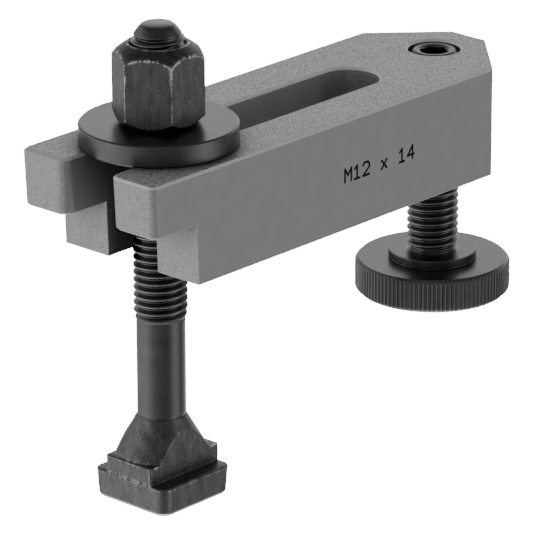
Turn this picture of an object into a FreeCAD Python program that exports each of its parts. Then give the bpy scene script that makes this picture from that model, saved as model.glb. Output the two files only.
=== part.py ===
import FreeCAD, Part
import math
import os
import Sketcher
from FreeCAD import Vector

# Fork strap clamp with a T-slot bolt and an adjustable support screw.
# Origin: centre of the bolt head's lower face. +Z runs up the bolt, +X along the arm to the
# support screw and +Y to the left prong. All sizes are in millimetres and degrees.

SIZES = [
    # Metric thread shared by the bolt, the nut, the support screw and the tapped hole
    ("thread_size", 12.0, "nominal diameter"),
    ("thread_play", 0.05, "radial gap between a screw and its tapped hole"),
    # Clamp arm
    ("arm_length", 125.0, "nose front to rear face"),
    ("arm_width", 40.0, "over both prongs"),
    ("arm_height", 25.4, "top face to underside"),
    ("arm_rise", 56.5, "underside above the bolt head's lower face"),
    ("bolt_setback", 21.9, "nose front to bolt axis"),
    ("nose_reach", 12.5, "overhang of the noses in front of the block"),
    ("step_height", 12.0, "top face to the step under the noses"),
    ("left_nose_height", 13.0, "top face to the left nose's underside"),
    ("right_nose_height", 11.9, "top face to the right nose's underside"),
    ("left_nose_advance", 0.3, "forged left nose in front of its nominal front"),
    ("right_nose_advance", 0.9, "forged right nose in front of its nominal front"),
    ("left_nose_bevel", 1.2, "run of the bevel on the left nose's top front edge"),
    ("right_nose_bevel", 0.4, "run of the bevel on the right nose's top front edge"),
    ("nose_draft", 2.0, "backward lean of the nose front"),
    ("nose_outer_radius", 1.5, "outer nose corner at the top face"),
    ("nose_inner_radius", 2.4, "inner nose corner at the top face"),
    ("nose_radius_growth", 0.5, "how much both corners open towards the nose underside"),
    ("nose_root", 4.0, "stretch of the nose that runs into the block"),
    ("nose_edge", 0.4, "bevel on the nose's lower edges"),
    ("block_lean", 2.3, "backward lean of the block front"),
    ("right_step_radius", 1.4, "rounded upright edge between the slot and the right step"),
    ("rear_corner", 15.0, "legs of the cut rear corners"),
    ("slot_width", 14.0, "between the prongs"),
    ("slot_length", 83.5, "nose front to the centre of the slot's round end"),
    ("edge_break", 0.5, "bevel on the top face's edges"),
    ("screw_setback", 12.0, "tapped hole axis to rear face"),
    ("hole_bevel", 0.5, "countersink of the tapped hole"),
    # T-slot bolt
    ("bolt_length", 108.9, "head underside to thread end"),
    ("head_size", 22.0, "square head across its faces"),
    ("head_height", 6.7, "thickness of the head"),
    ("head_radius", 2.5, "vertical corners of the head"),
    ("head_edge", 0.6, "rounding of the head's upper edge"),
    ("head_draft", 3.3, "forging draft of the head's sides"),
    ("head_bevel", 0.7, "bevel round the head's lower face"),
    ("neck_width", 13.7, "across the neck flats, to suit a 14 mm slot"),
    ("neck_length", 21.8, "along the slot"),
    ("neck_height", 4.0, "height of the neck block"),
    ("neck_radius", 0.5, "rounded upright corners of the neck block"),
    ("cone_radius", 10.4, "foot of the cone on the neck block"),
    ("cone_height", 8.6, "neck block to shank"),
    ("shank_size", 10.86, "plain shank diameter"),
    ("bolt_thread", 67.0, "threaded length from the end"),
    ("end_face", 7.0, "diameter of the bevelled end face"),
    ("end_bevel", 2.2, "height of the end bevel"),
    # Hexagon nut
    ("nut_flats", 18.0, "width across flats"),
    ("nut_height", 18.0, "height over all"),
    ("nut_ring", 13.4, "diameter of the flat ring on top"),
    ("nut_countersink", 13.0, "diameter of the bore's countersink"),
    ("nut_shoulder_radius", 9.2, "where the domed top turns steeper"),
    ("nut_shoulder_drop", 1.75, "drop of the dome at that radius"),
    ("nut_corner_drop", 3.2, "drop of the dome at the corners"),
    ("nut_dome", 5.0, "rounding radius of the dome"),
    ("nut_seat", 16.4, "diameter of the flat seat"),
    ("nut_turn", -0.4, "angle of the nut's first corner from +X"),
    # Washer
    ("washer_size", 35.0, "outer diameter"),
    ("washer_hole", 13.0, "hole diameter"),
    ("washer_thickness", 5.0, "thickness"),
    ("washer_bevel", 0.35, "bevel on the rims"),
    # Support screw
    ("screw_sink", 0.4, "screw end below the arm's top face"),
    ("screw_length", 58.0, "foot underside to screw end"),
    ("foot_size", 36.0, "diameter of the knurled disc"),
    ("foot_height", 7.9, "thickness of the disc"),
    ("foot_bevel", 0.9, "bevel on the disc's rims"),
    ("collar_size", 20.4, "collar diameter"),
    ("collar_height", 2.0, "collar above the disc"),
    ("collar_bevel", 0.3, "bevel on the collar's lower edge"),
    ("relief_size", 10.1, "diameter of the relief under the thread"),
    ("relief_height", 0.6, "height of the relief"),
    ("screw_end_face", 9.6, "diameter of the screw's end face"),
    ("socket_flats", 6.0, "hexagon socket across flats"),
    ("socket_depth", 7.0, "depth of the socket"),
    ("socket_mouth", 7.6, "diameter of the socket's countersunk mouth"),
    ("knurl_pitch", 1.067, "spacing of the knurl grooves round the disc"),
    ("knurl_depth", 0.4, "depth of a knurl groove"),
    ("knurl_land", 0.2, "flat left between two grooves"),
]


def make_sheet(doc):
    """Put every driving size in one spreadsheet: name, value and what it means."""
    sheet = doc.addObject("Spreadsheet::Sheet", "sizes")
    for row, (name, value, meaning) in enumerate(SIZES, start=1):
        sheet.set("A%d" % row, name)
        sheet.set("B%d" % row, str(value))
        sheet.set("C%d" % row, meaning)
        sheet.setAlias("B%d" % row, name)
    doc.recompute()
    return sheet


def make_body(doc, name):
    """Start one sub-part: its label names its file."""
    body = doc.addObject("PartDesign::Body", name)
    body.Label = name
    return body


def origin_feature(body, role):
    """Find one of the body's own origin planes or axes."""
    return next(feature for feature in body.Origin.OriginFeatures if feature.Role == role)


def make_sketch(body, name, plane, offset=None):
    """Open a sketch on an origin plane, shifted along the plane's normal by an expression."""
    sketch = body.newObject("Sketcher::SketchObject", name)
    sketch.AttachmentSupport = [(origin_feature(body, plane), "")]
    sketch.MapMode = "FlatFace"
    if offset:
        sketch.setExpression(".AttachmentOffset.Base.z", offset)
    return sketch


def pin_point(sketch, geometry, end, x_size, y_size):
    """Hold a sketch point at the place that two expressions give."""
    here = sketch.getPoint(geometry, end)
    for kind, place, size in (("DistanceX", here.x, x_size), ("DistanceY", here.y, y_size)):
        index = sketch.addConstraint(Sketcher.Constraint(kind, -1, 1, geometry, end, place))
        sketch.setExpression("Constraints[%d]" % index, size)


def set_radius(sketch, geometry, size):
    """Tie an arc's or a circle's radius to an expression."""
    drawn = sketch.Geometry[geometry].Radius
    index = sketch.addConstraint(Sketcher.Constraint("Radius", geometry, drawn))
    sketch.setExpression("Constraints[%d]" % index, size)


def draw_outline(doc, sketch, points, radii=None):
    """Draw a closed outline through points given by expressions, then round the named corners."""
    count = len(points)
    first = [Vector(math.cos(2 * math.pi * i / count), math.sin(2 * math.pi * i / count), 0)
             for i in range(count)]
    for i in range(count):
        sketch.addGeometry(Part.LineSegment(first[i], first[(i + 1) % count]), False)
    for i in range(count):
        sketch.addConstraint(Sketcher.Constraint("Coincident", i, 2, (i + 1) % count, 1))
    for i, (x_size, y_size) in enumerate(points):
        pin_point(sketch, i, 1, x_size, y_size)
    doc.recompute()
    for corner, size in (radii or {}).items():
        arc = sketch.GeometryCount
        sketch.fillet(corner, 1, 0.1, True, True)
        set_radius(sketch, arc, size)
    doc.recompute()


def draw_circle(sketch, x_size, y_size, radius_size):
    """Draw a circle whose centre and radius come from expressions."""
    circle = sketch.addGeometry(Part.Circle(Vector(0, 0, 0), Vector(0, 0, 1), 1.0), False)
    pin_point(sketch, circle, 3, x_size, y_size)
    set_radius(sketch, circle, radius_size)


def draw_hexagon(doc, sketch, flats):
    """Draw a hexagon with a corner on +X from its width across flats."""
    corner = "%s / sqrt(3)" % flats
    half_side = "%s / (2 * sqrt(3))" % flats
    half = "%s / 2" % flats
    draw_outline(doc, sketch, [
        (corner, "0"), (half_side, half), ("-" + half_side, half),
        ("-" + corner, "0"), ("-" + half_side, "-" + half), (half_side, "-" + half)])


def add_pad(body, name, sketch, length, midplane=False, down=False, taper=None):
    """Extrude a sketch by an expression, upwards, downwards or to both sides."""
    pad = body.newObject("PartDesign::Pad", name)
    pad.Profile = sketch
    pad.setExpression("Length", length)
    if midplane:
        pad.SideType = "Symmetric"
    pad.Reversed = down
    if taper:
        pad.setExpression("TaperAngle", taper)
    return pad


def add_pocket(body, name, sketch, length, midplane=False, reverse=False):
    """Cut a sketch into the body by an expression."""
    pocket = body.newObject("PartDesign::Pocket", name)
    pocket.Profile = sketch
    pocket.setExpression("Length", length)
    if midplane:
        pocket.SideType = "Symmetric"
    pocket.Reversed = reverse
    return pocket


def add_revolve(body, name, sketch, kind="PartDesign::Revolution"):
    """Turn a sketch a full turn about the body's Z axis, to add or to cut."""
    turned = body.newObject(kind, name)
    turned.Profile = sketch
    turned.ReferenceAxis = (origin_feature(body, "Z_Axis"), [""])
    turned.Angle = 360.0
    return turned


def add_mirror(body, name, feature):
    """Repeat a feature on the other side of the arm's middle plane."""
    mirror = body.newObject("PartDesign::Mirrored", name)
    mirror.Originals = [feature]
    mirror.MirrorPlane = (origin_feature(body, "XZ_Plane"), [""])
    body.Tip = mirror
    return mirror


def pick_edges(feature, test):
    """Name the edges of a feature whose middle passes a test."""
    names = []
    for index, edge in enumerate(feature.Shape.Edges, start=1):
        if test(edge.valueAt((edge.FirstParameter + edge.LastParameter) / 2)):
            names.append("Edge%d" % index)
    return names


def dress_edges(doc, body, kind, name, test, size):
    """Bevel or round the picked edges of the body's last feature."""
    doc.recompute()
    base = body.Tip
    dressed = body.newObject(kind, name)
    dressed.Base = (base, pick_edges(base, test))
    dressed.setExpression("Size" if kind == "PartDesign::Chamfer" else "Radius", size)
    return dressed


def near(value, target):
    """Tell whether a coordinate lies on a wanted plane."""
    return abs(value - target) < 1e-4


def make_arm(doc, sheet):
    """Clamp arm: block with a fork and two overhanging noses. Local origin: nose front, top face."""
    body = make_body(doc, "clamp_arm")
    side = make_sketch(body, "block_side", "XZ_Plane")
    lean = "(sizes.arm_height - sizes.step_height) * tan(sizes.block_lean)"
    draw_outline(doc, side, [
        ("sizes.nose_reach", "0"),
        ("sizes.nose_reach", "-sizes.step_height"),
        ("sizes.nose_reach + " + lean, "-sizes.arm_height"),
        ("sizes.arm_length", "-sizes.arm_height"),
        ("sizes.arm_length", "0")])
    add_pad(body, "block", side, "sizes.arm_width", midplane=True)

    length = sheet.get("arm_length")
    dress_edges(doc, body, "PartDesign::Chamfer", "rear_corners",
                lambda point: near(point.x, length) and near(abs(point.y), sheet.get("arm_width") / 2),
                "sizes.rear_corner")

    slot = make_sketch(body, "slot_outline", "XY_Plane")
    draw_slot(slot, sheet)
    add_pocket(body, "slot", slot, "sizes.arm_height")
    hole = make_sketch(body, "screw_hole_circle", "XY_Plane")
    draw_circle(hole, "sizes.arm_length - sizes.screw_setback", "0",
                "sizes.thread_size / 2 + sizes.thread_play")
    add_pocket(body, "screw_hole", hole, "sizes.arm_height")

    hole_x = length - sheet.get("screw_setback")
    hole_reach = sheet.get("thread_size")
    dress_edges(doc, body, "PartDesign::Chamfer", "hole_bevels",
                lambda point: math.hypot(point.x - hole_x, point.y) < hole_reach,
                "sizes.hole_bevel")
    rear_x = length - sheet.get("rear_corner")
    block_x = sheet.get("nose_reach")
    dress_edges(doc, body, "PartDesign::Chamfer", "top_bevels",
                lambda point: near(point.z, 0) and block_x + 1e-4 < point.x < rear_x
                and math.hypot(point.x - hole_x, point.y) > hole_reach,
                "sizes.edge_break")
    slot_side = sheet.get("slot_width") / 2
    dress_edges(doc, body, "PartDesign::Fillet", "right_step_edge",
                lambda point: near(point.y, -slot_side) and point.x < block_x + 1 and point.z < -1,
                "sizes.right_step_radius")
    add_nose(doc, body, "left", "")
    add_nose(doc, body, "right", "-")
    body.setExpression(".Placement.Base.x", "-sizes.bolt_setback")
    body.setExpression(".Placement.Base.z", "sizes.arm_rise + sizes.arm_height")
    return body


def add_nose(doc, body, side, sign):
    """Loft one nose down from its bevelled top to its bevelled base; the sign picks its side of the slot."""
    height = "sizes.%s_nose_height" % side
    levels = [
        ("top", "0", "sizes.%s_nose_bevel" % side, "sizes.edge_break"),
        ("upper", "sizes.edge_break", "0", "0"),
        ("lower", "(%s - sizes.nose_edge)" % height, "0", "0"),
        ("base", height, "sizes.nose_edge", "sizes.nose_edge")]
    sections = []
    for name, drop, front_inset, inset in levels:
        section = make_sketch(body, "%s_nose_%s" % (side, name), "XY_Plane", "-" + drop)
        front = "%s * tan(sizes.nose_draft) + %s - sizes.%s_nose_advance" % (drop, front_inset, side)
        root = "sizes.nose_reach + sizes.nose_root"
        inner = "%s(sizes.slot_width / 2 + %s)" % (sign, inset)
        outer = "%s(sizes.arm_width / 2 - %s)" % (sign, inset)
        growth = "sizes.nose_radius_growth * %s / %s - %s" % (drop, height, inset)
        draw_outline(doc, section, [(front, inner), (root, inner), (root, outer), (front, outer)],
                     {0: "sizes.nose_inner_radius + " + growth, 3: "sizes.nose_outer_radius + " + growth})
        sections.append(section)
    nose = body.newObject("PartDesign::AdditiveLoft", "%s_nose" % side)
    nose.Profile = sections[0]
    nose.Sections = sections[1:]
    nose.Ruled = True
    doc.recompute()


def draw_slot(sketch, sheet):
    """Draw the slot: two straight sides from in front of the arm and a half-round rear end."""
    half = sheet.get("slot_width") / 2
    centre = sheet.get("slot_length")
    front = -half
    corners = [Vector(front, -half, 0), Vector(centre, -half, 0),
               Vector(centre, half, 0), Vector(front, half, 0)]
    sketch.addGeometry(Part.LineSegment(corners[0], corners[1]), False)
    circle = Part.Circle(Vector(centre, 0, 0), Vector(0, 0, 1), half)
    sketch.addGeometry(Part.ArcOfCircle(circle, -math.pi / 2, math.pi / 2), False)
    sketch.addGeometry(Part.LineSegment(corners[2], corners[3]), False)
    sketch.addGeometry(Part.LineSegment(corners[3], corners[0]), False)
    for first, first_end, second, second_end in ((0, 2, 1, 1), (1, 2, 2, 1), (2, 2, 3, 1), (3, 2, 0, 1)):
        sketch.addConstraint(Sketcher.Constraint("Coincident", first, first_end, second, second_end))
    pin_point(sketch, 1, 3, "sizes.slot_length", "0")
    pin_point(sketch, 1, 1, "sizes.slot_length", "-sizes.slot_width / 2")
    pin_point(sketch, 0, 1, "-sizes.slot_width / 2", "-sizes.slot_width / 2")
    pin_point(sketch, 2, 2, "-sizes.slot_width / 2", "sizes.slot_width / 2")
    index = sketch.addConstraint(Sketcher.Constraint("DistanceX", -1, 1, 1, 2, centre))
    sketch.setExpression("Constraints[%d]" % index, "sizes.slot_length")


def make_bolt(doc, sheet):
    """T-slot bolt: square head, neck block, cone with two flats, shank and thread."""
    body = make_body(doc, "t_bolt")
    head_height = sheet.get("head_height")
    half_head = sheet.get("head_size") / 2
    neck_top = "(sizes.head_height + sizes.neck_height)"
    shank_start = "(%s + sizes.cone_height)" % neck_top
    thread_start = "sizes.bolt_length - sizes.bolt_thread"
    profile = make_sketch(body, "stem_profile", "XZ_Plane")
    draw_outline(doc, profile, [
        ("0", "sizes.head_height"),
        ("sizes.cone_radius", "sizes.head_height"),
        ("sizes.cone_radius", neck_top),
        ("sizes.shank_size / 2", shank_start),
        ("sizes.shank_size / 2", thread_start + " - (sizes.thread_size - sizes.shank_size) / 2"),
        ("sizes.thread_size / 2", thread_start),
        ("sizes.thread_size / 2", "sizes.bolt_length - sizes.end_bevel"),
        ("sizes.end_face / 2", "sizes.bolt_length"),
        ("0", "sizes.bolt_length")])
    add_revolve(body, "stem", profile)

    flat = make_sketch(body, "flat_outline", "YZ_Plane")
    outside = "sizes.head_size"
    draw_outline(doc, flat, [
        ("sizes.neck_width / 2", "0"), (outside, "0"),
        (outside, shank_start), ("sizes.neck_width / 2", shank_start)])
    left = add_pocket(body, "left_flat", flat, "2 * sizes.head_size", midplane=True)
    add_mirror(body, "right_flat", left)

    square = make_sketch(body, "head_outline", "XY_Plane", "sizes.head_height")
    half = "sizes.head_size / 2"
    draw_outline(doc, square, [
        ("-" + half, "-" + half), (half, "-" + half), (half, half), ("-" + half, half)],
        {corner: "sizes.head_radius" for corner in range(4)})
    add_pad(body, "head", square, "sizes.head_height", down=True, taper="-sizes.head_draft")
    dress_edges(doc, body, "PartDesign::Fillet", "head_upper_edge",
                lambda point: near(point.z, head_height) and math.hypot(point.x, point.y) > half_head - 0.1,
                "sizes.head_edge")

    block = make_sketch(body, "neck_outline", "XY_Plane", "sizes.head_height")
    long_half = "sizes.neck_length / 2"
    wide_half = "sizes.neck_width / 2"
    draw_outline(doc, block, [
        ("-" + long_half, "-" + wide_half), (long_half, "-" + wide_half),
        (long_half, wide_half), ("-" + long_half, wide_half)],
        {corner: "sizes.neck_radius" for corner in range(4)})
    add_pad(body, "neck", block, "sizes.neck_height")
    dress_edges(doc, body, "PartDesign::Chamfer", "head_bevel",
                lambda point: near(point.z, 0), "sizes.head_bevel")
    return body


def make_nut(doc):
    """Tall hexagon nut: domed top, bevelled seat and countersunk bore."""
    body = make_body(doc, "clamp_nut")
    hexagon = make_sketch(body, "nut_hexagon", "XY_Plane")
    draw_hexagon(doc, hexagon, "sizes.nut_flats")
    add_pad(body, "nut_block", hexagon, "sizes.nut_height")

    outside = "sizes.nut_flats"
    corner = "sizes.nut_flats / sqrt(3)"
    dome = make_sketch(body, "dome_profile", "XZ_Plane")
    over = "sizes.nut_height + sizes.nut_corner_drop"
    slope = "(sizes.nut_corner_drop - sizes.nut_shoulder_drop) / (%s - sizes.nut_shoulder_radius)" % corner
    draw_outline(doc, dome, [
        ("sizes.nut_ring / 2", "sizes.nut_height"),
        ("sizes.nut_shoulder_radius", "sizes.nut_height - sizes.nut_shoulder_drop"),
        (outside, "sizes.nut_height - sizes.nut_shoulder_drop - %s * (%s - sizes.nut_shoulder_radius)"
         % (slope, outside)),
        (outside, over),
        ("sizes.nut_ring / 2", over)],
        {1: "sizes.nut_dome"})
    add_revolve(body, "dome", dome, "PartDesign::Groove")

    seat = make_sketch(body, "seat_profile", "XZ_Plane")
    draw_outline(doc, seat, [
        ("sizes.nut_seat / 2", "0"),
        (outside, "%s - sizes.nut_seat / 2" % outside),
        (outside, "0")])
    add_revolve(body, "seat_bevel", seat, "PartDesign::Groove")

    bore = make_sketch(body, "bore_profile", "XZ_Plane")
    radius = "sizes.thread_size / 2 + sizes.thread_play"
    depth = "(sizes.nut_countersink / 2 - (%s))" % radius
    draw_outline(doc, bore, [
        ("0", "0"), ("sizes.nut_countersink / 2", "0"), (radius, depth),
        (radius, "sizes.nut_height - " + depth), ("sizes.nut_countersink / 2", "sizes.nut_height"),
        ("0", "sizes.nut_height")])
    add_revolve(body, "bore", bore, "PartDesign::Groove")
    body.setExpression(".Placement.Rotation.Angle", "sizes.nut_turn")
    body.setExpression(".Placement.Base.z", "sizes.arm_rise + sizes.arm_height + sizes.washer_thickness")
    return body


def make_washer(doc):
    """Thick plain washer with bevelled rims."""
    body = make_body(doc, "washer")
    profile = make_sketch(body, "washer_profile", "XZ_Plane")
    hole = "sizes.washer_hole / 2"
    rim = "sizes.washer_size / 2"
    top = "sizes.washer_thickness"
    bevel = "sizes.washer_bevel"
    draw_outline(doc, profile, [
        (hole, "0"), (rim + " - " + bevel, "0"), (rim, bevel), (rim, top + " - " + bevel),
        (rim + " - " + bevel, top), (hole, top)])
    add_revolve(body, "ring", profile)
    body.setExpression(".Placement.Base.z", "sizes.arm_rise + sizes.arm_height")
    return body


def make_screw(doc):
    """Support screw: knurled foot, collar, relief, thread and hexagon socket. Local origin: foot."""
    body = make_body(doc, "support_screw")
    rim = "sizes.foot_size / 2"
    bevel = "sizes.foot_bevel"
    disc = "sizes.foot_height"
    shoulder = "(sizes.foot_height + sizes.collar_height)"
    thread = "sizes.thread_size / 2"
    end_bevel = "(%s - sizes.screw_end_face / 2)" % thread
    profile = make_sketch(body, "screw_profile", "XZ_Plane")
    draw_outline(doc, profile, [
        ("0", "0"), (rim + " - " + bevel, "0"), (rim, bevel), (rim, disc + " - " + bevel),
        (rim + " - " + bevel, disc),
        ("sizes.collar_size / 2 - sizes.collar_bevel", disc),
        ("sizes.collar_size / 2", disc + " + sizes.collar_bevel"),
        ("sizes.collar_size / 2", shoulder),
        ("sizes.relief_size / 2", shoulder),
        ("sizes.relief_size / 2", shoulder + " + sizes.relief_height"),
        (thread, shoulder + " + sizes.relief_height + (sizes.thread_size - sizes.relief_size) / 4"),
        (thread, "sizes.screw_length - " + end_bevel),
        ("sizes.screw_end_face / 2", "sizes.screw_length"),
        ("0", "sizes.screw_length")])
    add_revolve(body, "turned_form", profile)

    socket = make_sketch(body, "socket_hexagon", "XY_Plane", "sizes.screw_length")
    draw_hexagon(doc, socket, "sizes.socket_flats")
    add_pocket(body, "socket", socket, "sizes.socket_depth")
    mouth = make_sketch(body, "mouth_profile", "XZ_Plane")
    draw_outline(doc, mouth, [
        ("0", "sizes.screw_length - sizes.socket_mouth / 2 / sqrt(3)"),
        ("sizes.socket_mouth / 2", "sizes.screw_length"),
        ("0", "sizes.screw_length")])
    add_revolve(body, "socket_mouth", mouth, "PartDesign::Groove")

    groove = make_sketch(body, "knurl_groove", "XY_Plane")
    half = "(sizes.knurl_pitch - sizes.knurl_land) / 2"
    draw_outline(doc, groove, [
        (rim + " - sizes.knurl_depth", "0"),
        (rim + " + sizes.knurl_depth", "2 * " + half),
        (rim + " + sizes.knurl_depth", "-2 * " + half)])
    cut = add_pocket(body, "first_groove", groove, "sizes.foot_height", reverse=True)
    knurl = body.newObject("PartDesign::PolarPattern", "knurl")
    knurl.Originals = [cut]
    knurl.Axis = (origin_feature(body, "Z_Axis"), [""])
    knurl.Angle = 360.0
    knurl.setExpression("Occurrences", "round(pi * sizes.foot_size / sizes.knurl_pitch)")
    body.Tip = knurl
    body.setExpression(".Placement.Base.x", "sizes.arm_length - sizes.screw_setback - sizes.bolt_setback")
    body.setExpression(".Placement.Base.z",
                       "sizes.arm_rise + sizes.arm_height - sizes.screw_sink - sizes.screw_length")
    return body


def check_document(doc, bodies):
    """Stop with a message if any object failed or any sub-part has no sound solid."""
    for item in doc.Objects:
        if "Invalid" in item.State or "Error" in item.State:
            raise RuntimeError("%s is %s" % (item.Name, item.State))
    for body in bodies:
        if body.Shape.isNull() or not body.Shape.isValid():
            raise RuntimeError("%s has no valid shape" % body.Label)


def main():
    doc = FreeCAD.newDocument("fork_strap_clamp")
    sheet = make_sheet(doc)
    bodies = [make_arm(doc, sheet), make_bolt(doc, sheet), make_nut(doc), make_washer(doc), make_screw(doc)]
    doc.recompute()
    check_document(doc, bodies)
    os.makedirs("parts", exist_ok=True)
    for body in bodies:
        body.Shape.exportStep("parts/%s.step" % body.Label)
        box = body.Shape.BoundBox
        print("%s: %.0f mm3, X %.2f..%.2f, Y %.2f..%.2f, Z %.2f..%.2f"
              % (body.Label, body.Shape.Volume, box.XMin, box.XMax, box.YMin, box.YMax, box.ZMin, box.ZMax))


main()
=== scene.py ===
import math
import bmesh
import bpy
import numpy as np
from mathutils import Matrix, Vector


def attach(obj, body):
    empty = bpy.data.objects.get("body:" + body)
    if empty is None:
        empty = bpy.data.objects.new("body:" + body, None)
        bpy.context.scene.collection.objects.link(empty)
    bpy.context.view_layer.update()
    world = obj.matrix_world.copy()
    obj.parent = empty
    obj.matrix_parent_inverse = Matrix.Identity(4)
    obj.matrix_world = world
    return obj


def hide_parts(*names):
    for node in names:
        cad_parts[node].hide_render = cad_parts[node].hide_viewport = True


# Looks of the fork strap clamp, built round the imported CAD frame.
# Lengths below are millimetres in the frame of the record, and MM turns them into Blender's metres.

MM = 0.001
TURN = 2 * math.pi

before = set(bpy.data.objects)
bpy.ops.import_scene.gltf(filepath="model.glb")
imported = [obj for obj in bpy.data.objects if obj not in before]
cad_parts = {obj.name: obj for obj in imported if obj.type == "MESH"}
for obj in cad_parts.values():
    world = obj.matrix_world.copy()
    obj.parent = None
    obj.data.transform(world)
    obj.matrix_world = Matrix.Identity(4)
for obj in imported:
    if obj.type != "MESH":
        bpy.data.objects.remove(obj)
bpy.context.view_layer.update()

# Sizes that the solids have too
THREAD_RADIUS = 6.0
HEAD_HALF = 11.0
HEAD_TOP = 6.7
HEAD_CORNER = 2.5
HEAD_BEVEL = 0.7
HEAD_EDGE = 0.6
HEAD_DRAFT = math.tan(math.radians(3.3))
NECK_TOP = 10.7
NECK_HALF_LENGTH = 10.9
NECK_HALF_WIDTH = 6.85
NECK_CORNER = 0.5
CONE_RADIUS = 10.4
CONE_TOP = 19.3
SHANK_RADIUS = 5.43
SHANK_TOP = 41.33
BOLT_END = 108.9
BOLT_FACE_RADIUS = 3.5
SCREW_X = 91.1
SCREW_END = 81.5
SCREW_FACE_RADIUS = 4.8
FOOT_BASE = 23.5
FOOT_HEIGHT = 7.9
FOOT_RADIUS = 18.0
FOOT_BEVEL = 0.9
COLLAR_RADIUS = 10.2
COLLAR_HEIGHT = 2.0
COLLAR_BEVEL = 0.3
RELIEF_RADIUS = 5.05
RELIEF_HEIGHT = 0.6
KNURL_COUNT = 106
KNURL_DEPTH = 0.4
KNURL_LAND = 0.2
SOCKET_FLATS = 6.0
SOCKET_DEPTH = 7.0
SOCKET_MOUTH_RADIUS = 3.8
ARM_SIDE = -20.0
SCREW_START = FOOT_BASE + FOOT_HEIGHT + COLLAR_HEIGHT + RELIEF_HEIGHT

# Sizes of the scene's own detail
PITCH = 1.75
ROOT_RADIUS = 4.93
CREST_ROUNDING = 0.2
ROOT_ROUNDING = 0.35
HEAD_BEVEL_RUN = 0.8
FORGED_WAVE = 0.035
FORGED_WAVE_END = CONE_TOP - 0.1
PLUG = 0.5
RUN_OUT = 2.2
POINT_LENGTH = 2.0
POINT_WIDENING = 0.97
POINT_ROUNDING = 0.8
POINT_THREAD_FADE = 0.9
END_RING_PITCH = 0.55
END_RING_DEPTH = 0.06
END_RING_REACH = 6.0
END_RING_FADE_IN = 0.2
END_RING_FADE_OUT = 0.5
COLLAR_EDGE = 0.1
SCREW_START_SLOPE = 1.6
SCREW_THREAD_SHIFT = -19
SOCKET_STEP = 0.05
DRILL_TIP_RADIUS = 0.6
DRILL_TIP_DROP = 0.9

# Heights and insets of the neck's rings: upright sides and a rounded upper edge
NECK_RINGS = ((HEAD_TOP, 0.0), (7.0, 0.0), (8.5, 0.0), (NECK_TOP - 0.35, 0.0),
              (NECK_TOP - 0.2, 0.06), (NECK_TOP - 0.08, 0.17), (NECK_TOP, 0.35))
# Radii of the rings that divide the foot's and the collar's flat tops
FOOT_TOP_RINGS = (16.8, 14.0, 11.0)
COLLAR_TOP_RINGS = (8.0, 6.0)

FORGING_COLUMNS = 480
ROD_COLUMNS = 96
# Points nearer than this become one
WELD = 0.0005
# Keeps a division by zero away
TINY = 1e-9


def linear(code, alpha=1.0):
    """Turn an sRGB hex colour into the linear values that Blender's sockets take."""
    parts = [int(code[i:i + 2], 16) / 255 for i in (1, 3, 5)]
    curve = [c / 12.92 if c <= 0.04045 else ((c + 0.055) / 1.055) ** 2.4 for c in parts]
    return (*curve, alpha)


def add_node(owner, kind, inputs=None, stops=None, **settings):
    """Add one shader node with its settings, its ramp's stops, and its inputs: values, or outputs to link."""
    tree = owner.node_tree
    node = tree.nodes.new("ShaderNode" + kind)
    for name, value in settings.items():
        setattr(node, name, value)
    for name, value in (inputs or {}).items():
        if isinstance(value, bpy.types.NodeSocket):
            tree.links.new(value, node.inputs[name])
        else:
            node.inputs[name].default_value = value
    if stops:
        elements = node.color_ramp.elements
        elements[0].position, elements[1].position = stops[0][0], stops[-1][0]
        for place, _ in stops[1:-1]:
            elements.new(place)
        for element, (_, value) in zip(elements, stops):
            element.color = value if isinstance(value, tuple) else (value, value, value, 1.0)
    return node


def new_material(name):
    """Start an empty material."""
    material = bpy.data.materials.new(name)
    material.use_nodes = True
    material.node_tree.nodes.clear()
    return material


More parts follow.
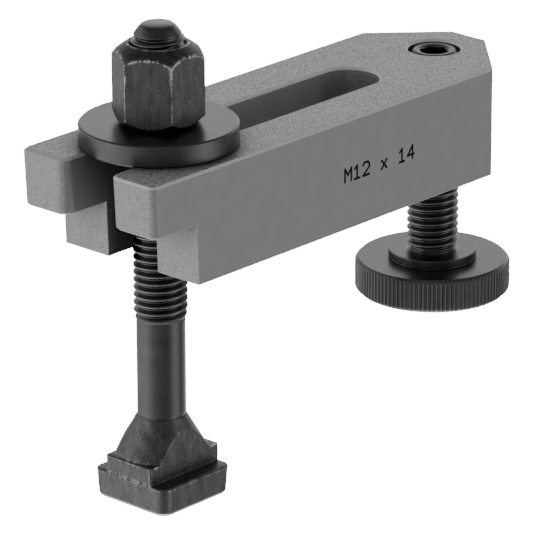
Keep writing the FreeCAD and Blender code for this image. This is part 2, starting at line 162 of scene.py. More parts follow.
def make_blasted_steel():
    """Heat-treated steel, blasted on its forged skin and milled on its sides.

    The skin is a matt grey with fine dark specks, lighter than the even, milled sides partly from the blast
    and partly as painted light from above. The broken edges and chamfers carry a painted highlight, and
    sheltered faces carry a painted shade.
    """
    material = new_material("blasted_and_milled_steel")
    place = add_node(material, "TexCoord")
    # Grit marks of about 0.15 mm are too fine for the render, so they are drawn at 0.4 mm
    grit = add_node(material, "TexNoise", {"Vector": place.outputs["Object"], "Scale": 1 / (0.4 * MM),
                                           "Detail": 3.0, "Roughness": 0.65}).outputs["Fac"]
    cloud = add_node(material, "TexNoise", {"Vector": place.outputs["Object"], "Scale": 1 / (5 * MM),
                                            "Detail": 2.0}).outputs["Fac"]
    facing = add_node(material, "SeparateXYZ", {0: place.outputs["Normal"]})
    # Share of the blasted skin on a face: all of it on top, a quarter in front and none on the milled sides.
    # The skin's colour is lighter than the milled one, partly from the blast and partly as painted light from
    # above
    sideways = add_node(material, "Math", {0: facing.outputs["Y"]}, operation="ABSOLUTE")
    unmilled = add_node(material, "Math", {0: sideways.outputs[0], 1: 0.7}, operation="LESS_THAN")
    upward = add_node(material, "MapRange", {"Value": facing.outputs["Z"], "To Min": 0.25, "To Max": 1.0})
    skin = add_node(material, "Math", {0: unmilled.outputs[0], 1: upward.outputs[0]},
                    operation="MULTIPLY").outputs[0]
    speckled = add_node(material, "ValToRGB", {"Fac": grit},
                        [(0.36, linear("#767676")), (0.48, linear("#b8b8b8")), (0.62, linear("#e0e0e0"))])
    milled = add_node(material, "ValToRGB", {"Fac": grit},
                      [(0.3, linear("#929292")), (0.7, linear("#989898"))])
    steel = add_node(material, "Mix", {0: skin, 6: milled.outputs[0], 7: speckled.outputs[0]},
                     data_type="RGBA")
    shade = add_node(material, "ValToRGB", {"Fac": cloud}, [(0.3, 0.93), (0.7, 1.0)])
    clouded = add_node(material, "Mix", {0: 1.0, 6: steel.outputs[2], 7: shade.outputs[0]},
                       data_type="RGBA", blend_type="MULTIPLY")
    # Painted shade: faces sheltered within 14 mm, in the slot and on the blocks under the noses, are painted
    # darker
    shelter = add_node(material, "AmbientOcclusion", {"Distance": 14 * MM}, samples=8)
    painted_recess_shade = add_node(material, "MapRange", {"Value": shelter.outputs["AO"], "From Min": 0.5, "From Max": 0.9,
                                            "To Min": 0.3, "To Max": 1.0})
    recess_shaded = add_node(material, "Mix", {0: 1.0, 6: clouded.outputs[2], 7: painted_recess_shade.outputs[0]},
                      data_type="RGBA", blend_type="MULTIPLY")
    # Painted highlight on the broken edges and chamfers: these slanted faces face neither up nor sideways
    chamfer_highlight_mask = add_node(material, "ValToRGB", {"Fac": facing.outputs["Z"]},
                        [(0.2, 0.0), (0.3, 1.0), (0.9, 1.0), (0.97, 0.0)])
    # The edge mask is how far a normal rounded over 0.35 mm turns from the true one
    rounded = add_node(material, "Bevel", {"Radius": 0.35 * MM}, samples=8)
    true = add_node(material, "NewGeometry")
    along = add_node(material, "VectorMath", {0: rounded.outputs[0], 1: true.outputs["Normal"]},
                     operation="DOT_PRODUCT")
    edge = add_node(material, "ValToRGB", {"Fac": along.outputs["Value"]}, [(0.86, 0.8), (0.985, 0.0)])
    # The edges and the chamfers are painted light as a highlight
    painted_edge_highlight = add_node(material, "Math", {0: edge.outputs[0], 1: chamfer_highlight_mask.outputs[0]}, operation="MAXIMUM")
    colour = add_node(material, "Mix", {0: painted_edge_highlight.outputs[0], 6: recess_shaded.outputs[2], 7: linear("#dcdcdc")},
                      data_type="RGBA")
    depth = add_node(material, "MapRange", {"Value": skin, "To Min": 0.1, "To Max": 1.0})
    relief = add_node(material, "Math", {0: grit, 1: depth.outputs[0]}, operation="MULTIPLY")
    bump = add_node(material, "Bump", {"Strength": 0.35, "Distance": 0.06 * MM, "Height": relief.outputs[0],
                                       "Normal": rounded.outputs[0]})
    surface = add_node(material, "BsdfPrincipled", {"Base Color": colour.outputs[2], "Metallic": 0.4,
                                                    "Roughness": 0.5, "Normal": bump.outputs[0]})
    add_node(material, "OutputMaterial", {"Surface": surface.outputs[0]})
    return material


def make_forged_black(name, edge_width, rub, worn_band, painted_top_shade):
    """Black oxide on forged steel: a dark satin skin over a grainy, slightly dented surface.

    Its raised edges are rubbed down to bright steel in broken, speckled lines. The edge width is in
    millimetres, and rub says how little an edge has to turn before it shows bare. The rubbing spreads from
    the edge's width to a millimetre as the height goes up through the worn band. Faces that look up get a
    painted shade: their colour is multiplied by the painted top shade.
    """
    material = new_material(name)
    place = add_node(material, "TexCoord")
    grain = add_node(material, "TexNoise", {"Vector": place.outputs["Object"], "Scale": 1 / (0.35 * MM),
                                            "Detail": 3.0, "Roughness": 0.65}).outputs["Fac"]
    drawn = add_node(material, "VectorMath", {0: place.outputs["Object"], 1: (1, 1, 0.25)},
                     operation="MULTIPLY")
    streak = add_node(material, "TexNoise", {"Vector": drawn.outputs[0], "Scale": 1 / (1.3 * MM),
                                             "Detail": 3.0}).outputs["Fac"]
    level = add_node(material, "SeparateXYZ", {0: place.outputs["Object"]}).outputs["Z"]
    upward = add_node(material, "SeparateXYZ", {0: place.outputs["Normal"]}).outputs["Z"]
    # Painted shade: faces that look up are darkened, so that the nut's dome comes out dark
    painted_top_darkening = add_node(material, "MapRange", {"Value": upward, "From Min": 0.15, "From Max": 0.35,
                                             "To Min": 1.0, "To Max": painted_top_shade})
    skin = add_node(material, "ValToRGB", {"Fac": grain},
                    [(0.3, linear("#545455")), (0.7, linear("#737374"))])
    shade = add_node(material, "ValToRGB", {"Fac": streak}, [(0.32, 0.68), (0.68, 1.0)])
    mottled = add_node(material, "Mix", {0: 1.0, 6: skin.outputs[0], 7: shade.outputs[0]},
                       data_type="RGBA", blend_type="MULTIPLY")
    shaded = add_node(material, "Mix", {0: 1.0, 6: mottled.outputs[2], 7: painted_top_darkening.outputs[0]},
                      data_type="RGBA", blend_type="MULTIPLY")
    rounded = add_node(material, "Bevel", {"Radius": edge_width * MM}, samples=8)
    wide = add_node(material, "Bevel", {"Radius": 1.1 * MM}, samples=8)
    true = add_node(material, "NewGeometry")
    along = add_node(material, "VectorMath", {0: rounded.outputs[0], 1: true.outputs["Normal"]},
                     operation="DOT_PRODUCT")
    near = add_node(material, "VectorMath", {0: wide.outputs[0], 1: true.outputs["Normal"]},
                    operation="DOT_PRODUCT")
    band = add_node(material, "MapRange", {"Value": level, "From Min": worn_band[0] * MM,
                                           "From Max": worn_band[1] * MM})
    spread = add_node(material, "Mix", {0: band.outputs[0], 2: 1.0, 3: near.outputs["Value"]})
    closest = add_node(material, "Math", {0: along.outputs["Value"], 1: spread.outputs[0]},
                       operation="MINIMUM")
    turned = add_node(material, "Math", {0: 1.0, 1: closest.outputs[0]}, operation="SUBTRACT")
    # Inner corners are sheltered, so they aren't rubbed
    shelter = add_node(material, "AmbientOcclusion", {"Distance": 0.8 * MM}, samples=6)
    raised = add_node(material, "MapRange", {"Value": shelter.outputs["AO"],
                                             "From Min": 0.8, "From Max": 0.97})
    exposed = add_node(material, "Math", {0: turned.outputs[0], 1: raised.outputs[0]}, operation="MULTIPLY")
    # Bare specks show where the grain stands high, and the more an edge turns the lower it may stand
    rubbed = add_node(material, "MapRange", {"Value": exposed.outputs[0],
                                             "From Min": rub, "From Max": rub * 8})
    uneven = add_node(material, "MapRange", {"Value": streak, "From Min": 0.4, "From Max": 0.58,
                                             "To Min": 0.15, "To Max": 0.38})
    standing = add_node(material, "Math", {0: rubbed.outputs[0], 1: uneven.outputs[0], 2: grain},
                        operation="MULTIPLY_ADD")
    speckles = add_node(material, "ValToRGB", {"Fac": standing.outputs[0]}, [(0.71, 0.0), (0.79, 1.0)])
    # The lower edge of the bolt's head is painted light all round, partly as rubbed wear and partly as a
    # painted reflection of the lit table below; the nut's mesh stands far above it
    lower_edge_wear_and_reflection = add_node(material, "MapRange", {"Value": level, "From Min": 0.95 * MM, "From Max": 0.5 * MM})
    bare_and_reflection = add_node(material, "Math", {0: speckles.outputs[0], 1: lower_edge_wear_and_reflection.outputs[0]}, operation="MAXIMUM")
    colour = add_node(material, "Mix", {0: bare_and_reflection.outputs[0], 6: shaded.outputs[2], 7: linear("#cacaca")},
                      data_type="RGBA")
    bump = add_node(material, "Bump", {"Strength": 0.4, "Distance": 0.06 * MM, "Height": grain,
                                       "Normal": rounded.outputs[0]})
    surface = add_node(material, "BsdfPrincipled", {"Base Color": colour.outputs[2], "Metallic": 1.0,
                                                    "Roughness": 0.42, "Normal": bump.outputs[0]})
    add_node(material, "OutputMaterial", {"Surface": surface.outputs[0]})
    return material


def make_turned_black(name, axis_x):
    """Black oxide on turned steel: smooth and satin, with fine tool lines that run round the axis.

    The lines follow from the distance to the axis and from the height. Edges are rubbed lighter, and the
    thread crests carry a painted highlight.
    """
    material = new_material(name)
    place = add_node(material, "TexCoord").outputs["Object"]
    centred = add_node(material, "VectorMath", {0: place, 1: (axis_x * MM, 0, 0)}, operation="SUBTRACT")
    flat = add_node(material, "VectorMath", {0: centred.outputs[0], 1: (1, 1, 0)}, operation="MULTIPLY")
    radius = add_node(material, "VectorMath", {0: flat.outputs[0]}, operation="LENGTH")
    height = add_node(material, "SeparateXYZ", {0: place})
    across = add_node(material, "CombineXYZ", {"X": radius.outputs["Value"], "Y": height.outputs["Z"]})
    # Tool marks of 0.1 mm feed are drawn at 0.25 mm, so that they show
    lines = add_node(material, "TexNoise", {"Vector": across.outputs[0], "Scale": 1 / (0.25 * MM),
                                            "Detail": 2.0, "Roughness": 0.6}).outputs["Fac"]
    patch = add_node(material, "TexNoise", {"Vector": place, "Scale": 1 / (3 * MM),
                                            "Detail": 4.0}).outputs["Fac"]
    skin = add_node(material, "ValToRGB", {"Fac": lines},
                    [(0.3, linear("#5a5a5c")), (0.7, linear("#606062"))])
    shade = add_node(material, "ValToRGB", {"Fac": patch}, [(0.3, 0.86), (0.7, 1.0)])
    mottled = add_node(material, "Mix", {0: 1.0, 6: skin.outputs[0], 7: shade.outputs[0]},
                       data_type="RGBA", blend_type="MULTIPLY")
    rounded = add_node(material, "Bevel", {"Radius": 0.2 * MM}, samples=8)
    true = add_node(material, "NewGeometry")
    along = add_node(material, "VectorMath", {0: rounded.outputs[0], 1: true.outputs["Normal"]},
                     operation="DOT_PRODUCT")
    edge = add_node(material, "ValToRGB", {"Fac": along.outputs["Value"]}, [(0.82, 1.0), (0.97, 0.0)])
    # Crests of the M12 thread get a painted highlight: they stand 6 mm from the axis, so the mask runs from
    # 5.8 to 6.2
    tenth = add_node(material, "MapRange", {"Value": radius.outputs["Value"], "From Max": 10 * MM})
    crest = add_node(material, "ValToRGB", {"Fac": tenth.outputs[0]},
                     [(0.58, 0.0), (0.597, 0.5), (0.605, 0.5), (0.62, 0.0)])
    # Rubbed edges, and the painted highlight on the thread crests
    rubbed = add_node(material, "Math", {0: edge.outputs[0], 1: crest.outputs[0]}, operation="MAXIMUM")
    colour = add_node(material, "Mix", {0: rubbed.outputs[0], 6: mottled.outputs[2], 7: linear("#9a9a9c")},
                      data_type="RGBA")
    bump = add_node(material, "Bump", {"Strength": 0.12, "Distance": 0.01 * MM, "Height": lines,
                                       "Normal": rounded.outputs[0]})
    surface = add_node(material, "BsdfPrincipled", {"Base Color": colour.outputs[2], "Metallic": 1.0,
                                                    "Roughness": 0.31, "Normal": bump.outputs[0]})
    add_node(material, "OutputMaterial", {"Surface": surface.outputs[0]})
    return material


def make_burnt_mark():
    """Steel darkened by a marking laser: nearly black and matt, a little uneven."""
    material = new_material("laser_darkened_steel")
    place = add_node(material, "TexCoord").outputs["Object"]
    grain = add_node(material, "TexNoise", {"Vector": place, "Scale": 1 / (0.3 * MM)}).outputs["Fac"]
    colour = add_node(material, "ValToRGB", {"Fac": grain},
                      [(0.35, linear("#060606")), (0.7, linear("#161617"))])
    surface = add_node(material, "BsdfPrincipled", {"Base Color": colour.outputs[0], "Roughness": 0.7,
                                                    "Specular IOR Level": 0.15})
    add_node(material, "OutputMaterial", {"Surface": surface.outputs[0]})
    return material


# Surfaces

def ring_faces(rows, columns):
    """Quads between neighbouring rings of a lattice whose columns run round and close on themselves."""
    row = np.arange(rows - 1)[:, None]
    column = np.arange(columns)[None, :]
    after = (column + 1) % columns
    corners = [row * columns + column, row * columns + after,
               (row + 1) * columns + after, (row + 1) * columns + column]
    return np.stack(corners, axis=-1).reshape(-1, 4)


def fan_faces(centre, first, columns, upward):
    """Triangles from a centre point to the ring that starts at a given point, facing up or down."""
    column = np.arange(columns)
    after = (column + 1) % columns
    near, far = (column, after) if upward else (after, column)
    return np.stack([np.full(columns, centre), first + near, first + far], axis=-1)


def stack_rings(radii, heights, axis_x=0.0):
    """Points of a solid from rings round an upright axis, and its faces with both ends closed by a fan.

    Column k of a ring stands at k shares of a turn, at that ring's radius there.
    """
    rows, columns = radii.shape
    angle = np.arange(columns) / columns * TURN
    heights = np.broadcast_to(heights, radii.shape)
    rings = np.stack([axis_x + radii * np.cos(angle), radii * np.sin(angle), heights], axis=-1)
    ends = [[axis_x, 0, heights[0].mean()], [axis_x, 0, heights[-1].mean()]]
    points = np.concatenate([rings.reshape(-1, 3), ends])
    count = rows * columns
    return points, [ring_faces(rows, columns), fan_faces(count, 0, columns, False),
                    fan_faces(count + 1, count - columns, columns, True)]


def soft_least(first, second, width):
    """The smaller of two values, less a quarter of the squared overlap where they are nearly equal."""
    overlap = np.maximum(width - np.abs(first - second), 0.0) / width
    return np.minimum(first, second) - overlap ** 2 * width / 4


def rounded_box_radius(angle, half_x, half_y, corner):
    """Distance from the axis to a rounded rectangle: the nearer of its two sides, or its corner's circle."""
    across, along = np.abs(np.cos(angle)), np.abs(np.sin(angle))
    to_x = half_x / np.maximum(across, TINY)
    to_y = half_y / np.maximum(along, TINY)
    centre_x, centre_y = half_x - corner, half_y - corner
    middle = across * centre_x + along * centre_y
    inside = np.maximum(middle ** 2 - (centre_x ** 2 + centre_y ** 2 - corner ** 2), 0.0)
    on_x = to_x * along <= centre_y
    on_y = to_y * across <= centre_x
    return np.where(on_x, to_x, np.where(on_y, to_y, middle + np.sqrt(inside)))


def forged_waves(angle, height, size):
    """Slow unevenness of a forged skin: a sum of six waves that run round and along the axis."""
    wave = np.arange(6).reshape(-1, 1, 1)
    turns = 2 + (7 + wave * 5) % 9
    rise = 0.25 + 0.37 * ((3 + wave * 4) % 7)
    return size * (np.sin(turns * angle + rise * height + 1.7 * wave + 1) / (wave + 2)).sum(axis=0)


def thread_depth(share):
    """Depth under the crest at a share of the pitch: 60 degree flanks between a rounded crest and root."""
    crest_half = PITCH / 12
    flank = (np.minimum(share, 1 - share) * PITCH - crest_half) / math.tan(math.radians(30))
    return soft_least(-soft_least(-flank, 0.0, CREST_ROUNDING), THREAD_RADIUS - ROOT_RADIUS, ROOT_ROUNDING)


# Shares of the pitch at which the thread's profile has its points
PROFILE_SHARES = np.array([0.0, 0.04, 0.08, 0.12, 0.2, 0.28, 0.34, 0.4, 0.45, 0.5, 0.55, 0.6, 0.66, 0.72,
                           0.8, 0.88, 0.92, 0.96])


def threaded_rod(low, high, radius_at, shift=0):
    """Points and faces of the surface that the thread's profile sweeps along its helix, cut at two heights.

    The point at profile share u and helix step s lies at the height PITCH * (u + s / columns) over the lower
    end, less one pitch, at the angle of step s, and at the radius that the rod has for that depth and height.
    Beyond the two cuts all points fall on one ring each, and are merged later. A shift turns the helix by
    that many columns.
    """
    count = len(PROFILE_SHARES)
    steps = int((math.ceil((high - low) / PITCH) + 2) * ROD_COLUMNS)
    step = np.arange(steps + 1)[:, None]
    height = np.clip(low + PITCH * (step / ROD_COLUMNS + PROFILE_SHARES - 1), low, high)
    radius = radius_at(thread_depth(PROFILE_SHARES), height)
    angle = (step + shift) / ROD_COLUMNS * TURN
    points = np.stack([radius * np.cos(angle), radius * np.sin(angle), height], axis=-1).reshape(-1, 3)
    first = np.arange(steps)[:, None] * count + np.arange(count - 1)
    inner = np.stack([first, first + count, first + count + 1, first + 1], axis=-1).reshape(-1, 4)
    last = np.arange(steps - ROD_COLUMNS) * count + count - 1
    turn = ROD_COLUMNS * count - count + 1
    between = np.stack([last, last + count, last + turn + count, last + turn], axis=-1)
    return points, [inner, between]


def make_piece(name, points, faces, material, body, slot, sharp):
    """Put points in millimetres and faces into a mesh, weld it, shade it smooth and hang it on a body.

    Edges that turn by more than the sharp angle, in degrees, stay sharp.
    """
    mesh = bpy.data.meshes.new(name)
    corners = [face for group in faces for face in group.tolist()]
    mesh.from_pydata((np.asarray(points) * MM).tolist(), [], corners)
    work = bmesh.new()
    work.from_mesh(mesh)
    bmesh.ops.remove_doubles(work, verts=work.verts, dist=WELD * MM)
    bmesh.ops.dissolve_degenerate(work, edges=work.edges, dist=WELD * MM)
    work.to_mesh(mesh)
    work.free()
    mesh.polygons.foreach_set("use_smooth", np.ones(len(mesh.polygons), dtype=bool))
    mesh.set_sharp_from_angle(angle=math.radians(sharp))
    return hang_piece(name, mesh, material, body)


def hang_piece(name, mesh, material, body):
    """Give a mesh its material, and hang its object on a body of the frame."""
    mesh.materials.append(material)
    piece = bpy.data.objects.new(name, mesh)
    bpy.context.scene.collection.objects.link(piece)
    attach(piece, body)
    return piece


def join_groups(*groups):
    """Join several sets of points and faces into one."""
    points, faces, start = [], [], 0
    for group_points, group_faces in groups:
        points.append(group_points)
        faces += [group + start for group in group_faces]
        start += len(group_points)
    return np.concatenate(points), faces


# T-slot bolt

def make_bolt_forging():
    """Head, neck and cone: a stack of rings, each a rounded box, a circle or a circle with two flats.

    The head narrows downwards by its draft and has a bevel below and a quarter round above. The cone is the
    smaller of its slope and the neck's width, and meets the shank, which is a piece with the thread.
    """
    angle = np.arange(FORGING_COLUMNS) / FORGING_COLUMNS * TURN
    rings = []
    for height in np.concatenate([np.linspace(0, HEAD_BEVEL, 5), np.linspace(1, HEAD_TOP - HEAD_EDGE, 9)]):
        inset = max(HEAD_BEVEL - height, 0.0) * HEAD_BEVEL_RUN
        half = HEAD_HALF - (HEAD_TOP - height) * HEAD_DRAFT - inset
        rings.append((height, rounded_box_radius(angle, half, half, HEAD_CORNER - inset)))
    for lift in np.radians(np.linspace(15, 90, 6)):
        inset = HEAD_EDGE * (1 - math.cos(lift))
        half = HEAD_HALF - inset
        rings.append((HEAD_TOP - HEAD_EDGE * (1 - math.sin(lift)),
                      rounded_box_radius(angle, half, half, HEAD_CORNER - inset)))
    for height, inset in NECK_RINGS:
        half = NECK_HALF_LENGTH - inset
        rings.append((height, rounded_box_radius(angle, half, NECK_HALF_WIDTH, NECK_CORNER)))
    slope = (CONE_RADIUS - SHANK_RADIUS) / (CONE_TOP - NECK_TOP)
    to_flats = NECK_HALF_WIDTH / np.maximum(np.abs(np.sin(angle)), TINY)
    for height in np.linspace(NECK_TOP, CONE_TOP, 40):
        rings.append((height, np.minimum(CONE_RADIUS - slope * (height - NECK_TOP), to_flats)))
    rings.append((CONE_TOP + PLUG, ROOT_RADIUS))
    levels = np.array([height for height, _ in rings])[:, None]
    radii = np.array([np.broadcast_to(radius, angle.shape) for _, radius in rings])
    radii = radii + np.where(levels < FORGED_WAVE_END, forged_waves(angle, levels, FORGED_WAVE), 0.0)
    return stack_rings(radii, levels)


def bolt_radius(depth, height):
    """Radius of the bolt's thread: it runs out into the shank, and its end is a blunt, rounded point.

    Below the point the end also shows fine rings from turning, cut into the crest.
    """
    run_out = np.clip((height - SHANK_TOP) / RUN_OUT, 0.0, 1.0)
    below_end = BOLT_END - height
    crest = np.minimum(THREAD_RADIUS, BOLT_FACE_RADIUS + POINT_WIDENING * below_end ** POINT_ROUNDING)
    cut = depth * np.clip((below_end - POINT_LENGTH) / POINT_THREAD_FADE, 0.0, 1.0)
    fade_in = np.clip((below_end - POINT_LENGTH) / END_RING_FADE_IN, 0.0, 1.0)
    fade_out = np.clip((END_RING_REACH - below_end) / END_RING_FADE_OUT, 0.0, 1.0)
    rings = END_RING_DEPTH * (fade_in * fade_out) * (1 + np.sin(TURN * below_end / END_RING_PITCH))
    return SHANK_RADIUS + (crest - cut - rings - SHANK_RADIUS) * run_out


def make_bolt_thread():
    """The thread, the shank below it, a tapered plug that reaches into the cone, and an end face."""
    points, faces = threaded_rod(SHANK_TOP, BOLT_END, bolt_radius)
    levels = np.concatenate([[CONE_TOP - PLUG], np.linspace(CONE_TOP, SHANK_TOP, 24), [BOLT_END]])[:, None]
    radii = np.full((len(levels), ROD_COLUMNS), SHANK_RADIUS)
    radii[0] = SHANK_RADIUS - PLUG
    radii[-1] = BOLT_FACE_RADIUS
    ends, end_faces = stack_rings(radii, levels)
    end_faces[0] = end_faces[0][:-ROD_COLUMNS]
    return join_groups((points, faces), (ends, end_faces))


# Support screw

def make_foot():
    """Knurled disc, collar and relief: the rim is the smaller of its bevelled profile and the knurl."""
    per_groove = 8
    share = np.arange(KNURL_COUNT * per_groove) % per_groove / per_groove
    groove_pitch = TURN * FOOT_RADIUS / KNURL_COUNT
    land = KNURL_LAND / groove_pitch
    rise = np.clip((np.abs(share - 0.5) * 2 - land) / (1 - land), 0.0, 1.0)
    knurl = FOOT_RADIUS - KNURL_DEPTH * (1 - rise)
    top = FOOT_BASE + FOOT_HEIGHT
    rings = []
    for height in np.linspace(0, FOOT_BEVEL, 7):
        rings.append((FOOT_BASE + height, np.minimum(FOOT_RADIUS - FOOT_BEVEL + height, knurl)))
    for height in np.linspace(FOOT_BEVEL + 1, FOOT_HEIGHT - FOOT_BEVEL - 1, 4):
        rings.append((FOOT_BASE + height, knurl))
    for height in np.linspace(FOOT_BEVEL, 0, 7):
        rings.append((top - height, np.minimum(FOOT_RADIUS - FOOT_BEVEL + height, knurl)))
    collar_top = top + COLLAR_HEIGHT
    rings += [(top, radius) for radius in FOOT_TOP_RINGS]
    rings += [(top, COLLAR_RADIUS - COLLAR_BEVEL), (top + COLLAR_BEVEL, COLLAR_RADIUS),
              (collar_top - COLLAR_EDGE, COLLAR_RADIUS), (collar_top, COLLAR_RADIUS - COLLAR_EDGE)]
    rings += [(collar_top, radius) for radius in COLLAR_TOP_RINGS]
    rings += [(collar_top, RELIEF_RADIUS), (SCREW_START, RELIEF_RADIUS),
              (SCREW_START + PLUG, RELIEF_RADIUS - PLUG / 2)]
    radii = np.array([np.broadcast_to(radius, share.shape) for _, radius in rings])
    return stack_rings(radii, np.array([height for height, _ in rings])[:, None], SCREW_X)


def screw_radius(depth, height):
    """Radius of the screw's thread: it starts from the relief below and ends in a turned bevel above."""
    start = RELIEF_RADIUS + SCREW_START_SLOPE * (height - SCREW_START)
    end = SCREW_FACE_RADIUS + SCREW_END - height
    return np.minimum(np.minimum(THREAD_RADIUS - depth, start), end)


def make_screw_thread():
    """The thread with a hexagon socket in its end: rings from the end face down to the socket's floor.

    A hexagon's radius is half its flats over the cosine of the angle to the middle of the nearest side.
    """
    points, faces = threaded_rod(SCREW_START, SCREW_END, screw_radius, SCREW_THREAD_SHIFT)
    angle = np.arange(ROD_COLUMNS) / ROD_COLUMNS * TURN
    hexagon = SOCKET_FLATS / 2 / np.cos(angle % (TURN / 6) - TURN / 12)
    mouth = np.minimum(hexagon, SOCKET_MOUTH_RADIUS - SOCKET_STEP)
    drop = (SOCKET_MOUTH_RADIUS - mouth) / math.sqrt(3)
    ring = np.ones(ROD_COLUMNS)
    floor = SCREW_END - SOCKET_DEPTH
    radii = np.array([ring * (RELIEF_RADIUS - PLUG / 2), ring * RELIEF_RADIUS, ring * SCREW_FACE_RADIUS,
                      ring * SOCKET_MOUTH_RADIUS, mouth, hexagon, hexagon, ring * DRILL_TIP_RADIUS])
    heights = np.array([ring * (SCREW_START - PLUG), ring * SCREW_START, ring * SCREW_END, ring * SCREW_END,
                        SCREW_END - drop, SCREW_END - drop - SOCKET_STEP, ring * floor,
                        ring * (floor - DRILL_TIP_DROP)])
    ends, end_faces = stack_rings(radii, heights)
    end_faces[0] = np.delete(end_faces[0], np.arange(ROD_COLUMNS, 2 * ROD_COLUMNS), axis=0)
    points, faces = join_groups((points, faces), (ends, end_faces))
    return points + [SCREW_X, 0, 0], faces


# Marks

# Strokes of each character as chains of points, in a field of 2.1 mm by 3 mm
STROKES = {
    "M": [[(0, 0), (0, 3), (1.05, 1.5), (2.1, 3), (2.1, 0)]],
    "1": [[(0.3, 2.3), (1.05, 3), (1.05, 0)], [(0.2, 0), (1.9, 0)]],
    "2": [[(0, 2.4), (0.5, 3), (1.6, 3), (2.1, 2.4), (2.1, 1.8), (0, 0), (2.1, 0)]],
    "4": [[(1.6, 0), (1.6, 3), (0, 0.9), (2.1, 0.9)]],
    "x": [[(0.2, 0), (1.9, 2)], [(0.2, 2), (1.9, 0)]],
    " ": [],
}
CHARACTER_STEP = 3.0
STROKE_RADIUS = 0.28
STROKE_REACH = 0.7
MARKS_PLACE = (38.0, ARM_SIDE, 67.6)
MARKS_PROUD = 0.02


def make_size_marks(material):
    """Thread and slot size in plain characters on the arm's right side, as flattened round strokes."""
    curve = bpy.data.curves.new("size_marks", "CURVE")
    curve.dimensions = "3D"
    curve.bevel_depth = STROKE_RADIUS * MM
    curve.bevel_resolution = 1
    curve.use_fill_caps = True
    for order, character in enumerate("M12 x 14"):
        for chain in STROKES[character]:
            for start, end in zip(chain, chain[1:]):
                # Each stroke reaches a little past its ends, so that the corners close
                reach = (Vector(end) - Vector(start)).normalized() * STROKE_RADIUS * STROKE_REACH
                spline = curve.splines.new("POLY")
                spline.points.add(1)
                for point, place in zip(spline.points, (Vector(start) - reach, Vector(end) + reach)):
                    point.co = ((place.x + order * CHARACTER_STEP) * MM, place.y * MM, 0.0, 1.0)
    holder = bpy.data.objects.new("size_marks_outline", curve)
    mesh = bpy.data.meshes.new_from_object(holder)
    bpy.data.objects.remove(holder)
    flat = Matrix.Diagonal((1.0, 1.0, MARKS_PROUD / STROKE_RADIUS, 1.0))
    upright = Matrix.Rotation(math.radians(90), 4, "X")
    mesh.transform(Matrix.Translation(Vector(MARKS_PLACE) * MM) @ upright @ flat)
    return hang_piece("size_marks", mesh, material, "clamp_arm")


blasted = make_blasted_steel()
forged = make_forged_black("black_oxide_forged_steel", 0.35, 0.008, (-1.0, 0.0), 1.0)
# The nut's dome and other upward faces get a painted shade of 0.7
rubbed = make_forged_black("black_oxide_forged_steel_rubbed", 0.3, 0.004, (97.0, 99.0), 0.7)
turned_at_bolt = make_turned_black("black_oxide_turned_steel", 0.0)
turned_at_screw = make_turned_black("black_oxide_turned_steel_screw", SCREW_X)
burnt = make_burnt_mark()

for node_name, finish in (("clamp_arm", blasted), ("clamp_nut", rubbed), ("washer", turned_at_bolt)):
    for material_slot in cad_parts[node_name].material_slots:
        material_slot.material = finish

bolt_forging = make_piece("t_bolt_forging", *make_bolt_forging(), forged, "t_bolt", "black_forged_steel", 40)
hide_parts("t_bolt")
bolt_thread = make_piece("t_bolt_thread", *make_bolt_thread(), turned_at_bolt, "t_bolt",
                         "black_turned_steel", 50)
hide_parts("t_bolt")
foot = make_piece("support_foot", *make_foot(), turned_at_screw, "support_screw", "black_turned_steel", 25)
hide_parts("support_screw")
screw_thread = make_piece("support_screw_thread", *make_screw_thread(), turned_at_screw, "support_screw",
                          "black_turned_steel", 50)
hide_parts("support_screw")
make_size_marks(burnt)


# Stage

def make_backdrop():
    """A white floor that turns up into walls and a ceiling: rings of a wide room round the clamp.

    It glows like a lit acrylic table, so that it comes out as white as the photograph's ground, and only
    the camera sees it, so that the clamp's reflections come from the studio light.
    """
    radii = np.array([0.05, 2.5, 3.3, 3.7, 3.9, 3.9, 0.05])
    heights = np.array([-0.6, -0.6, -0.5, -0.2, 0.4, 5.0, 5.0])
    points, faces = stack_rings(np.repeat(radii[:, None], 64, axis=1), heights[:, None])
    mesh = bpy.data.meshes.new("floor")
    mesh.from_pydata(points.tolist(), [], [face for group in faces for face in group.tolist()])
    material = new_material("lit_white_acrylic")
    surface = add_node(material, "BsdfPrincipled", {"Base Color": linear("#f4f4f4"), "Roughness": 0.9,
                                                    "Emission Color": linear("#ffffff"),
                                                    "Emission Strength": 16.0})
    add_node(material, "OutputMaterial", {"Surface": surface.outputs[0]})
    mesh.materials.append(material)
    floor = bpy.data.objects.new("floor", mesh)
    bpy.context.scene.collection.objects.link(floor)
    floor.visible_glossy = False
    floor.visible_diffuse = False
    floor.visible_transmission = False
    floor.visible_shadow = False


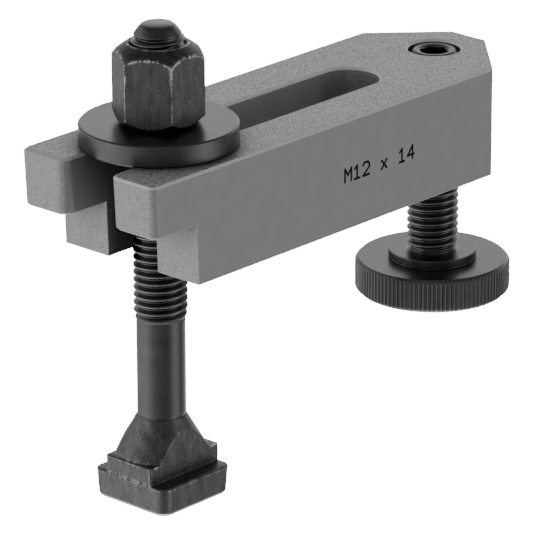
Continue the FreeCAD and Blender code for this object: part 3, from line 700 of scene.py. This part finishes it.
def make_studio_light():
    """White screens round the clamp with dark gaps between them, a dark ceiling and a lit table below.

    The screens' brightness is read from the bearing of a direction, from behind the clamp over its left side,
    front and right side to its back again, and goes over to the ceiling's and the floor's with height.
    """
    world = bpy.data.worlds.new("studio")
    world.use_nodes = True
    world.node_tree.nodes.clear()
    bpy.context.scene.world = world
    heading = add_node(world, "TexCoord").outputs["Generated"]
    front = add_node(world, "VectorMath", {0: heading, 1: (-0.737, -0.676, 0)}, operation="DOT_PRODUCT")
    right = add_node(world, "VectorMath", {0: heading, 1: (0.676, -0.737, 0)}, operation="DOT_PRODUCT")
    bearing = add_node(world, "Math", {0: right.outputs["Value"], 1: front.outputs["Value"]},
                       operation="ARCTAN2")
    share = add_node(world, "MapRange", {"Value": bearing.outputs[0],
                                         "From Min": -math.pi, "From Max": math.pi})
    walls = add_node(world, "ValToRGB", {"Fac": share.outputs[0]},
                     [(0.0, 0.74), (0.1, 0.29), (0.2, 0.69), (0.3, 0.82), (0.4, 0.34), (0.5, 0.20),
                      (0.6, 0.13), (0.7, 0.75), (0.8, 0.10), (0.9, 0.66), (1.0, 0.74)])
    up = add_node(world, "SeparateXYZ", {0: heading})
    overhead = add_node(world, "MapRange", {"Value": up.outputs["Z"], "From Min": 0.4, "From Max": 0.7})
    room = add_node(world, "Mix", {0: overhead.outputs[0], 6: walls.outputs[0], 7: (0.12, 0.12, 0.12, 1.0)},
                    data_type="RGBA")
    below = add_node(world, "MapRange", {"Value": up.outputs["Z"], "From Min": -0.9, "From Max": -0.98})
    colour = add_node(world, "Mix", {0: below.outputs[0], 6: room.outputs[2], 7: (2.0, 2.0, 2.0, 1.0)},
                      data_type="RGBA")
    background = add_node(world, "Background", {"Color": colour.outputs[2], "Strength": 1.8})
    add_node(world, "OutputWorld", {"Surface": background.outputs[0]})


# Camera of the photograph, from the fit of its edges
CAMERA_AZIMUTH = -47.443
CAMERA_ELEVATION = 20.244
CAMERA_ROLL = -0.165
CAMERA_AIM = (45.0, 0.0, 61.9)
CAMERA_RIGHT = -7.02
CAMERA_UP = -19.72
CAMERA_DISTANCE = 1101.103
FOCAL_PIXELS = 4924.4
PICTURE_WIDTH = 535
SENSOR_WIDTH = 36.0


def make_camera():
    """Put the camera at its distance behind the aim, with the aim's offset to the side and upwards."""
    azimuth, elevation, roll = (math.radians(a) for a in (CAMERA_AZIMUTH, CAMERA_ELEVATION, CAMERA_ROLL))
    back = Vector((math.sin(azimuth) * math.cos(elevation), -math.cos(azimuth) * math.cos(elevation),
                   math.sin(elevation)))
    right = Vector((math.cos(azimuth), math.sin(azimuth), 0.0))
    up = back.cross(right)
    right, up = math.cos(roll) * right + math.sin(roll) * up, -math.sin(roll) * right + math.cos(roll) * up
    place = Vector(CAMERA_AIM) + right * CAMERA_RIGHT + up * CAMERA_UP + back * CAMERA_DISTANCE
    lens = bpy.data.cameras.new("camera")
    lens.sensor_width = SENSOR_WIDTH
    lens.lens = FOCAL_PIXELS / PICTURE_WIDTH * SENSOR_WIDTH
    camera = bpy.data.objects.new("camera", lens)
    bpy.context.scene.collection.objects.link(camera)
    turn = Matrix((right, up, back)).transposed().to_4x4()
    camera.matrix_world = Matrix.Translation(place * MM) @ turn
    bpy.context.scene.camera = camera


make_backdrop()
make_studio_light()
make_camera()
